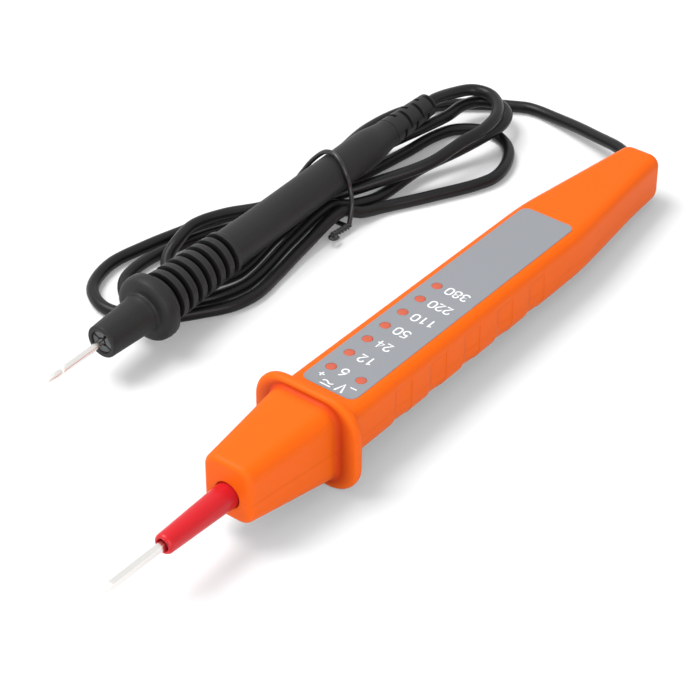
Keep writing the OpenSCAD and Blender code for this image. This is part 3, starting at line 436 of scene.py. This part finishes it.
# tie round the waist
TIE_R, TIE_END_R = 0.7, 0.5
TIE_RING = [[49.1, 26.9, 2.3], [50.4, 27.3, 4.8], [51.9, 28, 7.2], [53.4, 29.5, 9.4], [54, 30.6, 12.1],
            [53.6, 31.2, 15], [54.2, 33.4, 17.8], [55.2, 36.6, 19.1], [55.7, 40, 18.4], [55.6, 42.6, 16.4],
            [54.3, 45, 13.5], [53.3, 46.4, 11.1], [52.3, 47.8, 8.6], [51.3, 49.3, 5.4], [50.4, 49.2, 2.6],
            [50, 47.2, 0.9], [49.8, 43, 0.8], [49.5, 38, 0.8], [49.3, 32, 0.9], [49.2, 28.4, 1.1]]
TIE_FROM, TIE_TO = (49, 26.8, 1.9), (42, 27.3, 2.3)
TIE_HOOK = [TIE_TO, [40.7, 27.2, 2.6], [39.8, 26.5, 2.9], [39.9, 25.6, 2.8], [41, 25.3, 2.4], [42.4, 25.6, 2]]


def twisted(phase, start, end, turns, r):
    """Helix of radius r about the line from start to end."""
    start, end = np.array(start, float), np.array(end, float)
    ax = unit(end - start)
    s = unit(np.cross([0, 0, 1.0], ax))
    u = np.cross(ax, s)
    t = np.linspace(0, 1, 24 * turns + 1)
    a = 2 * np.pi * turns * t + phase
    return start + (end - start) * t[:, None] + r * (np.cos(a)[:, None] * s + np.sin(a)[:, None] * u)


tie_pieces = [tube("tie_band", smooth_path(TIE_RING, 8), TIE_R, sides=16)]
tie_pieces += [tube(f"tie_twist_{k}", twisted(phase, TIE_FROM, TIE_TO, 3, 0.45), TIE_END_R, sides=12)
               for k, phase in enumerate((0, np.pi))]
tie_pieces += [tube("tie_hook", smooth_path(TIE_HOOK, 8), TIE_END_R, sides=12)]
piece(tie_pieces[0], TIE, "tie_black", "twist_tie")
for part in tie_pieces[1:]:
    piece(part, TIE, "tie_black")


# turned pieces: sleeve, pins and the second probe
def lathe(name, rings, place, sides=96, shape=None, sharp=40, hollow=None):
    """Surface r(s, a) = radius of the profile at station s, changed by shape(s, a, r), turned about place's
    axis; rings are (r, s) pairs from one pole to the other, place(s, r cos a, r sin a) gives the points."""
    rs = np.asarray(rings, float)
    a = 2 * np.pi * np.arange(sides) / sides
    r = np.repeat(rs[:, :1], sides, 1)
    s = np.repeat(rs[:, 1:], sides, 1)
    if shape is not None:
        r = shape(s, np.broadcast_to(a, r.shape), r)
    pts = place(s, r * np.cos(a), r * np.sin(a)).reshape(-1, 3)
    poles = place(rs[[0, -1], 1], np.zeros(2), np.zeros(2))
    deep = None if hollow is None else np.r_[hollow(s, r).ravel(), 0, 0]
    return mesh_object(name, np.vstack([pts, poles]) * MM, closed_rings(len(rs), sides), uv=ring_uv(rs, sides),
                       sharp=sharp, hollow=deep)


def on_tester(s, y, z):
    """Along the tester's axis, from the sleeve's tip."""
    return laid(np.stack([s - NOSE_LEN - SLEEVE_LEN, y, z], -1))


def on_probe(s, y, z):
    """Along the probe's axis, from its nose's face."""
    return np.stack([s + PROBE_X, y + PROBE_Y, z + PROBE_Z], -1)


def upright(x, y):
    """Place for lathe: an axis that stands square to the tester's label at (x, y)."""
    return lambda s, a, b: laid(np.stack([x + a, y + b, s], -1))


def dense(rings, step):
    """Profile with points added so that no stretch is longer than step."""
    out = [rings[0]]
    for p, q in zip(rings[:-1], rings[1:]):
        n = max(1, math.ceil(math.dist(p, q) / step))
        out += [(p[0] + (q[0] - p[0]) * k / n, p[1] + (q[1] - p[1]) * k / n) for k in range(1, n + 1)]
    return out


def rounded(r0, s0, r1, s1, steps=7):
    """Quarter of an ellipse from (r0, s0), leaving square to the axis, to (r1, s1), along the axis."""
    t = np.linspace(0, np.pi / 2, steps)
    return [(r0 + (r1 - r0) * math.sin(v), s0 + (s1 - s0) * (1 - math.cos(v))) for v in t]


SLEEVE_RINGS = [(1.72, 4), (1.72, 0.5), (1.85, 0.12), (2.0, 0.0), (2.1, 0.0), *rounded(2.1, 0.0, 2.83, 1.1),
                (3.56, 23.4), (3.56, 28)]
sleeve = lathe("sleeve_body", dense(SLEEVE_RINGS, 2.5), on_tester)
piece(sleeve, RED, "sleeve_red", "tip_sleeve")


def square_pin(s, a, r):
    """Square section with rounded edges: r / (|cos b|^12 + |sin b|^12)^(1/12)."""
    return r / (np.abs(np.cos(a)) ** 12 + np.abs(np.sin(a)) ** 12) ** (1 / 12)


POINT = [(0.14 + 0.76 * t ** 0.85, -20.95 + 2.95 * t) for t in (0.15, 0.3, 0.5, 0.7, 0.85, 1)]
PIN_RINGS = [(0.05, -21.0), (0.14, -20.95), *POINT, (0.9, -17), (0.9, 2.0)]
main_pin = lathe("main_pin_shaft", dense(PIN_RINGS, 2), on_tester, sides=64, shape=square_pin, sharp=30)
piece(main_pin, STEEL, "pin_nickel", "main_pin")

SECOND_RINGS = [(0.08, -21), (0.30, -20.7), (0.50, -20), (0.70, -19), (0.86, -18), (0.96, -17.2), (1.0, -16.6),
                (1.0, -15.9), (0.88, -15.75), (0.72, -15.6), (0.70, -15.4), (0.72, -15.2), (0.9, -15.1),
                (1.0, -14.95), (1.0, 2.6)]
second_pin = lathe("second_pin_shaft", dense(SECOND_RINGS, 2), on_probe, sides=64)
piece(second_pin, STEEL, "pin_nickel", "second_pin")

GRIP_AT, GRIP_PITCH, GRIP_COUNT, GRIP_W, GRIP_DEEP = 23.1, 3.95, 7, 1.8, 2.2
GRIP_LEN = GRIP_COUNT * GRIP_PITCH
GRIP_R, GRIP_FALL = 7.5, 1.0
GRIP_EDGE = 0.12
RAILS = np.radians([216, 324])
MOULD_LINE = np.radians(130)


def grip_level(s):
    """Radius of the ribs' tops at station s."""
    return GRIP_R - GRIP_FALL * (s - GRIP_AT) / GRIP_LEN


def ribbed(s):
    return (s > GRIP_AT - 0.3) & (s < GRIP_AT + GRIP_LEN - 1)


def handle_profile():
    """Profile of the probe's handle: mouth, nose, collar, ribbed grip, barrel and neck."""
    p = [(3.3, 7), (3.3, 0.35), (3.38, 0.12), (3.55, 0.0), (4.3, 0.0), *rounded(4.3, 0.0, 4.8, 0.55),
         (5.55, 14.5)]
    p += [(5.66, 14.8), (5.74, 15.1), (5.78, 15.5), (5.86, 15.95), (6.08, 16.25), (6.5, 16.38), (7.1, 16.36),
          (7.9, 16.46), (8.6, 16.72), (9.15, 17.15), (9.46, 17.7), (9.6, 18.4), (9.66, 19.0), (9.72, 19.25),
          (9.66, 19.5), (9.66, 20.4), (9.55, 20.85), (9.3, 21.08), (8.9, 21.12), (7.56, 21.15)]
    for k in range(GRIP_COUNT):
        front = GRIP_AT + k * GRIP_PITCH
        back = front + GRIP_W
        r = grip_level(front)
        p += [(r, front - GRIP_EDGE), (r - 0.08, front), (r - GRIP_DEEP, front + GRIP_EDGE),
              (r - GRIP_DEEP, back - GRIP_EDGE), (r - 0.08, back), (r, back + GRIP_EDGE)]
    r = GRIP_R - GRIP_FALL
    p += [(r, 50.1), (r - 0.2, 50.45), (5.85, 50.7)]
    p += [(5.6, 64), (5.6, 113.5), (5.52, 115), (5.25, 117), (4.8, 119.5), (4.5, 121.5), (4.4, 122.6),
          (4.4, 123.7), (4.25, 124.0), (1.9, 124.05)]
    return p


def handle_shape(s, a, r):
    """Grooves filled level where a rail crosses them, ribs slightly uneven, a fine mould line on the barrel."""
    off = np.abs((a[..., None] - RAILS + np.pi) % (2 * np.pi) - np.pi).min(-1)
    rail = np.clip((np.radians(8) - off) / np.radians(2.5), 0, 1)
    r = np.where(ribbed(s), np.maximum(r, r + (grip_level(s) - 0.1 - r) * rail), r)
    r = np.where(ribbed(s), r + 0.05 * np.sin(5 * a + 1.7 * s) * np.sin(2.3 * a + s), r)
    line = np.exp(-(((a - MOULD_LINE) / np.radians(1.6)) ** 2)) * (s > 51) * (s < 122)
    return r + 0.06 * line


def groove_mask(s, r):
    """0 on the ribs, rising to 1 near the grooves' floor; it sets where shade is painted into the grooves."""
    return np.clip((grip_level(s) - r) / (0.8 * GRIP_DEEP), 0, 1) * ribbed(s)


handle = lathe("probe_grip", dense(handle_profile(), 1.6), on_probe, sides=160, shape=handle_shape, sharp=32,
               hollow=groove_mask)
piece(handle, GRIP, "probe_black", "probe_handle")


# the tester's two half shells
# half width, top, low and round of the nose: each at the tip, and its gain
NOSE = ((7.4, 2.9), (9.9, 2.2), (7.0, 3.6), (3.9, 0.9))
NOSE_EDGE = 1.4
FILLET_LEN, FILLET_W, FILLET_H = 1.5, 1.5, 0.9
GUARD_ROUND, GUARD_EDGE = 8.8, 1.0
TOP_ROUND, LOW_ROUND = 3.0, 6.5
TAPER_AT, TAPER_SOFT = 109, 2.2
TAIL_HALF, TAIL_DROP, TAIL_EDGE = 6.0, 1.2, 3.0
NOTCHES = 23.4 + 14.9 * np.arange(5)
NOTCH_IN, NOTCH_OUT = 1.8, 5.6
NOTCH_DEEP, NOTCH_SLOPE = 0.6, 0.46
MOUTH = ((-NOSE_LEN + 5, 3.72), (-NOSE_LEN + 0.25, 3.72), (-NOSE_LEN - 0.001, 3.95))
SHELL_SHARP = 28


def arc(cy, cz, ry, rz, a0, a1, n):
    """Points on an ellipse about (cy, cz) from a0 to a1 degrees."""
    a = np.radians(np.linspace(a0, a1, n))
    return np.stack([cy + ry * np.cos(a), cz + rz * np.sin(a)], -1)


def ease(t):
    t = np.clip(t, 0, 1)
    return t * t * (3 - 2 * t)


def quarter(u):
    """Drop of a quarter circle of radius 1 at u from its top."""
    return 1 - math.sqrt(max(0.0, 1 - u * u))


def upper_section(w, top, rt, cut):
    """Half section above the split: straight sides drawn in by cut, arcs of radius rt, flat top."""
    rt = min(rt, 0.8 * w)
    split = 0.8 * (top - rt)
    side = np.stack([np.full(7, w - cut), np.linspace(0, split, 7)], -1)
    rise = [[w - cut * (1 - ease(t)), split + (top - rt - split) * t] for t in (0.33, 0.66)]
    near = np.vstack([side, rise, arc(w - rt, top - rt, rt, rt, 0, 90, 13)])
    flat = np.stack([np.linspace(w - rt, rt - w, 9)[1:-1], np.full(7, top)], -1)
    return np.vstack([near, flat, near[::-1] * [-1, 1]])


def lower_section(w, low, rb, cut):
    """Half section below the split, from -y round to +y."""
    rb = min(rb, 0.8 * (w - cut), 0.8 * low)
    side = np.stack([np.full(6, cut - w), np.linspace(0, rb - low, 7)[:-1]], -1)
    near = np.vstack([side, arc(rb + cut - w, rb - low, rb, rb, 180, 270, 15)])
    flat = np.stack([np.linspace(rb + cut - w, w - cut - rb, 9)[1:-1], np.full(7, -low)], -1)
    return np.vstack([near, flat, near[::-1] * [-1, 1]])


def grip_cut(x):
    """Depth of the finger notches at station x: a quick fall and a slower rise, five times."""
    d = 0.0
    for c in NOTCHES:
        if c - NOTCH_IN < x <= c:
            d = max(d, NOTCH_DEEP * ease((x - c + NOTCH_IN) / NOTCH_IN))
        elif c < x < c + NOTCH_OUT + 0.06:
            d = max(d, NOTCH_DEEP - NOTCH_SLOPE * (x - c) / NOTCH_OUT)
    return float(d)


def nose_dims(x):
    """The nose widens to the guard, with a rounded front edge and a concave fillet at the guard."""
    t = min(1.0, (x + NOSE_LEN) / (NOSE_LEN - 2))
    w, top, low, r = (tip + gain * t for tip, gain in NOSE)
    e = NOSE_EDGE * quarter(max(0.0, NOSE_EDGE - NOSE_LEN - x) / NOSE_EDGE)
    f = quarter(min(max((x + FILLET_LEN) / FILLET_LEN, 0.0), 1.0))
    r += FILLET_H * f - 0.6 * e
    return w - e + FILLET_W * f, top - e + FILLET_H * f, low - e + FILLET_H * f, r, r, 0


def guard_dims(x):
    """The guard's rim is rounded over its whole thickness."""
    u = abs(x - GUARD_T / 2) / (GUARD_T / 2)
    e = GUARD_EDGE * (1 - math.sqrt(max(0.0, 1 - u ** 2.6)))
    return GUARD_HALF - e, GUARD_TOP - e, GUARD_LOW - e, GUARD_ROUND, GUARD_ROUND, 0


def body_dims(x):
    """Half width, top, low, top radius, low radius and cut of the tester's section at station x, mm."""
    if x < 0:
        return nose_dims(x)
    if x <= GUARD_T:
        return guard_dims(x)
    taper = math.log1p(math.exp((x - TAPER_AT) / TAPER_SOFT)) * TAPER_SOFT / (BODY_END - TAPER_AT)
    w = (HALF_W - 0.5 * min(x, TAPER_AT) / TAPER_AT) * (1 - taper) + TAIL_HALF * taper
    grow = 0.9 * math.exp(-(x - GUARD_T) / 0.55) - TAIL_EDGE * quarter(max(0.0, x - FOOT_BACK) / TAIL_EDGE)
    return w + grow, BODY_TOP - TAIL_DROP * taper + grow, BODY_LOW + grow, TOP_ROUND, LOW_ROUND, grip_cut(x)


def stations():
    """Stations of the sections, close together where the outline bends."""
    turn = np.linspace(0, np.pi / 2, 12)
    by_notch = [-1.8, -1.6, -1.3, -1.0, -0.7, -0.4, -0.2, 0, 0.15, 0.4, 0.8, 1.5, 2.5, 3.5, 4.5, 5.2, 5.5, 5.64,
                5.68, 7, 9, 11]
    xs = [-NOSE_LEN + NOSE_EDGE * (1 - np.cos(np.linspace(0, np.pi / 2, 9))),
          np.linspace(-NOSE_LEN + NOSE_EDGE, -2.0, 20),
          -2.0 + 2.0 * np.sin(turn)[:-1], [-0.005],
          GUARD_T / 2 * (1 - np.cos(np.linspace(0, np.pi, 15)))[1:],
          GUARD_T + np.array([0.05, 0.15, 0.3, 0.5, 0.8, 1.2, 1.8, 2.6, 4.0]),
          np.arange(8.0, 21.0, 1.5), (NOTCHES[:, None] + by_notch).ravel(), np.arange(96.5, FOOT_BACK, 1.25),
          FOOT_BACK + TAIL_EDGE * np.sin(np.linspace(0, np.radians(86), 12))]
    return np.unique(np.round(np.concatenate(xs), 3))


def shell(name, upper):
    """Loft of the half sections over all stations, closed at both ends and along the split.

    hollow, which sets the painted shade, is exp(-(x / 1.5)^2) in the corner before the guard, and half as much,
    and shorter, behind it.
    """
    xs = stations()
    rows = []
    for x in xs:
        w, top, low, rt, rb, cut = body_dims(x)
        section = upper_section(w, top, rt, cut) if upper else lower_section(w, low, rb, cut)
        rows.append(np.column_stack([np.full(len(section), x), section]))
    n = len(rows[0])
    turn = np.linspace(0, np.pi, n) + (0 if upper else np.pi)
    mouth = [np.column_stack([np.full(n, x), r * np.cos(turn), r * np.sin(turn)]) for x, r in MOUTH]
    rows = np.array(mouth + rows)
    verts = laid(np.vstack([rows.reshape(-1, 3), rows[[0, -1]].mean(1)]))
    before = np.exp(-(np.minimum(xs, 0) / 1.5) ** 2) * (xs < 0)
    behind = 0.5 * np.exp(-((xs - GUARD_T) / 0.8) ** 2) * (xs > GUARD_T)
    hollow = np.r_[np.repeat(np.r_[np.zeros(len(mouth)), before + behind], n), 0, 0]
    return mesh_object(name, verts * MM, closed_rings(len(rows), n), sharp=SHELL_SHARP, hollow=hollow)


def cut_out(obj, cutters):
    """Takes the cutters out of obj for good, then removes them."""
    for cutter in cutters:
        cut = obj.modifiers.new("well", "BOOLEAN")
        cut.operation = "DIFFERENCE"
        cut.object = cutter
    plain = obj.data
    result = obj.evaluated_get(bpy.context.evaluated_depsgraph_get())
    obj.data = bpy.data.meshes.new_from_object(result)
    obj.modifiers.clear()
    obj.data.set_sharp_from_angle(angle=math.radians(SHELL_SHARP))
    bpy.data.meshes.remove(plain)
    for cutter in cutters:
        bpy.data.objects.remove(cutter)


upper_body = shell("upper_body", True)
lower_body = shell("lower_body", False)

# wells for the three screws, from below the body up to the screws' heads
WELL = [(2.42, -16), (2.42, -10), (2.42, -4.65)]
SCREWS = ((-9, 6), (-9, -6), (111, 4.4))
cut_out(lower_body, [lathe(f"well_{k}", WELL, upright(x, y), sides=40, sharp=30)
                     for k, (x, y) in enumerate(SCREWS)])
piece(upper_body, ORANGE, "shell_orange", "upper_shell")
piece(lower_body, ORANGE, "shell_orange", "lower_shell")


# lamp lenses in the label's windows
LENS = [(1.46, 8.7), (1.46, 9.2), (1.44, 9.28), (1.36, 9.34), (1.1, 9.4), (0.7, 9.44), (0.3, 9.455)]
LAMPS = [(LAMP_X + LAMP_PITCH * k, LAMP_Y, f"lamp_{k + 1}") for k in range(LAMP_COUNT)]
LAMPS += [(LAMP_X, MINUS_Y, "lamp_minus")]
for k, (x, y, stands_for) in enumerate(LAMPS):
    lens = lathe(f"lens_{k + 1}", LENS, upright(x, y), sides=40, sharp=60)
    piece(lens, CORAL, "lamp_coral", stands_for)


# print on the label
PRINT_TOP, PRINT_THICK = 9.345, 0.04
ROUND_END = np.radians(np.linspace(80, 0, 6))


def bar(points, width):
    """Vertices and faces of a closed thin bar along points (tester x, y).

    Its edges are p +- n * width / 2 along the points. At the ends they are
    p +- t * width / 2 * sin(u) +- n * width / 2 * cos(u), for u from 80 to 0 degrees.
    """
    p = np.asarray(points, float)
    p = p[np.r_[True, np.linalg.norm(np.diff(p, axis=0), axis=1) > 1e-4]]
    t = unit(np.gradient(p, axis=0))
    past, wide = width / 2 * np.sin(ROUND_END), width / 2 * np.cos(ROUND_END)
    middle = np.vstack([p[0] - past[:, None] * t[0], p[1:-1], p[-1] + past[::-1, None] * t[-1]])
    along = np.vstack([np.tile(t[0], (len(past), 1)), t[1:-1], np.tile(t[-1], (len(past), 1))])
    half = np.r_[wide, np.full(len(p) - 2, width / 2), wide[::-1]]
    side = np.stack([-along[:, 1], along[:, 0]], -1) * half[:, None]
    low, top = (np.full((len(middle), 1), z) for z in (PRINT_TOP - PRINT_THICK, PRINT_TOP))
    left, right = middle + side, middle - side
    rows = np.stack([np.hstack([left, low]), np.hstack([left, top]), np.hstack([right, top]),
                     np.hstack([right, low])], 1)
    last = 4 * (len(rows) - 1)
    ends = np.array([[3, 2, 1, 0], [last, last + 1, last + 2, last + 3]])
    return rows.reshape(-1, 3), np.vstack([grid_faces(len(rows), 4), ends])


def ribbon_mesh(strokes, name, width):
    """All strokes as thin bars in one mesh."""
    bars = [bar(points, width) for points in strokes]
    first = np.cumsum([0] + [len(v) for v, _ in bars[:-1]])
    faces = np.vstack([f + at for at, (_, f) in zip(first, bars)])
    return mesh_object(name, laid(np.vstack([v for v, _ in bars])) * MM, faces.tolist(), smooth=False)


# strokes of each figure in a cell 0.62 wide and 1 high, centred at 0.31
GLYPHS = {
    "0": [[*arc(0.31, 0.69, 0.29, 0.29, 0, 180, 18), *arc(0.31, 0.31, 0.29, 0.29, 180, 360, 18), (0.60, 0.69)]],
    "1": [[(0.14, 0.80), (0.34, 0.98), (0.34, 0.0)]],
    "2": [[*arc(0.31, 0.71, 0.27, 0.27, 170, -35, 18), (0.06, 0.0), (0.60, 0.0)]],
    "3": [[*arc(0.29, 0.74, 0.25, 0.24, 155, -90, 18), (0.22, 0.5)],
          [(0.22, 0.5), *arc(0.29, 0.25, 0.29, 0.25, 90, -155, 18)]],
    "4": [[(0.44, 0.0), (0.44, 1.0), (0.02, 0.28), (0.62, 0.28)]],
    "5": [[(0.54, 1.0), (0.14, 1.0), (0.08, 0.56), *arc(0.29, 0.31, 0.29, 0.30, 130, -150, 18)]],
    "6": [[(0.46, 1.0), *arc(0.50, 0.34, 0.46, 0.55, 125, 178, 8), *arc(0.32, 0.30, 0.28, 0.29, 170, 530, 26)]],
    "8": [arc(0.31, 0.75, 0.23, 0.24, 0, 360, 24), arc(0.31, 0.27, 0.29, 0.27, 0, 360, 26)],
    "V": [[(0.02, 1.0), (0.33, 0.0), (0.64, 1.0)]],
    "+": [[(0.05, 0.5), (0.65, 0.5)], [(0.35, 0.2), (0.35, 0.8)]],
    "-": [[(0.05, 0.5), (0.65, 0.5)]],
}
CELL, CELL_PITCH = 0.62, 0.80


def write(text, x, y, height):
    """Strokes of text whose baseline starts at tester (x, y), runs along +Y and has its top towards -X."""
    return [np.array([(x - height * v, y + height * (u + CELL_PITCH * k)) for u, v in stroke])
            for k, ch in enumerate(text) for stroke in GLYPHS[ch]]


VALUES = ("6", "12", "24", "50", "110", "220", "380")
FIGURE_H, FIGURE_RIGHT = 3.05, 1.53
figures = []
for k, text in enumerate(VALUES):
    width = FIGURE_H * (CELL + CELL_PITCH * (len(text) - 1))
    figures += write(text, LAMP_X + LAMP_PITCH * k + FIGURE_H / 2, FIGURE_RIGHT - width, FIGURE_H)
printed = ribbon_mesh(figures, "label_figures", 0.48)
piece(printed, WHITE, "label_grey")
letter = ribbon_mesh(write("V", 12.8, -3.95, 3.2), "label_letter", 0.6)
piece(letter, WHITE, "label_grey")
wave = np.linspace(0, 1, 20)
marks = write("+", 13.85, 3.9, 2.2) + write("-", 14.0, -6.4, 2.6)
marks += [np.array([[9.7, -0.2], [9.7, 2.8]]),
          np.stack([11.0 - 0.35 * np.sin(2 * np.pi * wave), 3.0 * wave - 0.2], -1)]
signs = ribbon_mesh(marks, "label_signs", 0.42)
piece(signs, WHITE, "label_grey")


# floor, light and background; floor and world show white to camera, glossy and transmission rays only
SHOWN_TO = ("Is Camera Ray", "Is Glossy Ray", "Is Transmission Ray")
FLOOR_HALF, FLOOR_DROP = 3.0, 0.00002
corners = np.array([[-1, -1, 0], [1, -1, 0], [1, 1, 0], [-1, 1, 0]]) * FLOOR_HALF - [0, 0, FLOOR_DROP]
floor = mesh_object("floor", corners, [(0, 1, 2, 3)], smooth=False)
floor_mat, floor_shader = shader("floor_white", (0.76, 0.76, 0.76), 1.0, Specular_IOR_Level=0.0,
                                 Emission_Color=(1, 1, 1, 1))
glow = node(floor_mat.node_tree, "ShaderNodeMath", {1: 0.17}, operation="MULTIPLY")
wire(floor_mat.node_tree, (any_ray(floor_mat.node_tree, *SHOWN_TO), glow.inputs[0]),
     (glow.outputs[0], floor_shader.inputs["Emission Strength"]))
dress(floor, floor_mat)

world = bpy.data.worlds.new("studio")
scene.world = world
world.use_nodes = True
sky = world.node_tree
soft = sky.nodes["Background"]
soft.inputs["Strength"].default_value = 1.0
direction = node(sky, "ShaderNodeTexCoord")
toward = node(sky, "ShaderNodeVectorMath", {1: (-0.35, 0.45, 0.82)}, operation="DOT_PRODUCT")
ramp = node(sky, "ShaderNodeValToRGB")
ramp.color_ramp.elements[0].position = 0.0
ramp.color_ramp.elements[0].color = (0.16, 0.16, 0.165, 1)
ramp.color_ramp.elements[1].position = 1.0
ramp.color_ramp.elements[1].color = (0.92, 0.92, 0.93, 1)
middle = ramp.color_ramp.elements.new(0.42)
middle.color = (0.40, 0.40, 0.41, 1)
white = node(sky, "ShaderNodeBackground", {"Color": (1, 1, 1, 1)})
mixed = node(sky, "ShaderNodeMixShader")
wire(sky, (direction.outputs["Generated"], toward.inputs[0]), (toward.outputs["Value"], ramp.inputs["Fac"]),
     (ramp.outputs["Color"], soft.inputs["Color"]), (any_ray(sky, *SHOWN_TO), mixed.inputs["Fac"]),
     (soft.outputs["Background"], mixed.inputs[1]), (white.outputs["Background"], mixed.inputs[2]),
     (mixed.outputs["Shader"], sky.nodes["World Output"].inputs["Surface"]))


def area_light(name, at, size, power):
    """Square lamp in watts that faces the middle of the part."""
    data = bpy.data.lights.new(name, "AREA")
    data.energy = power
    data.size = size
    lamp = bpy.data.objects.new(name, data)
    scene.collection.objects.link(lamp)
    lamp.location = at
    lamp.rotation_euler = (-Vector(at)).to_track_quat("-Z", "Y").to_euler()


area_light("key_light", (-0.25, 0.60, 1.30), 0.8, 17.5)
area_light("fill_light", (-0.6, -1.0, 0.55), 0.9, 8.5)

scene.view_settings.view_transform = "Standard"
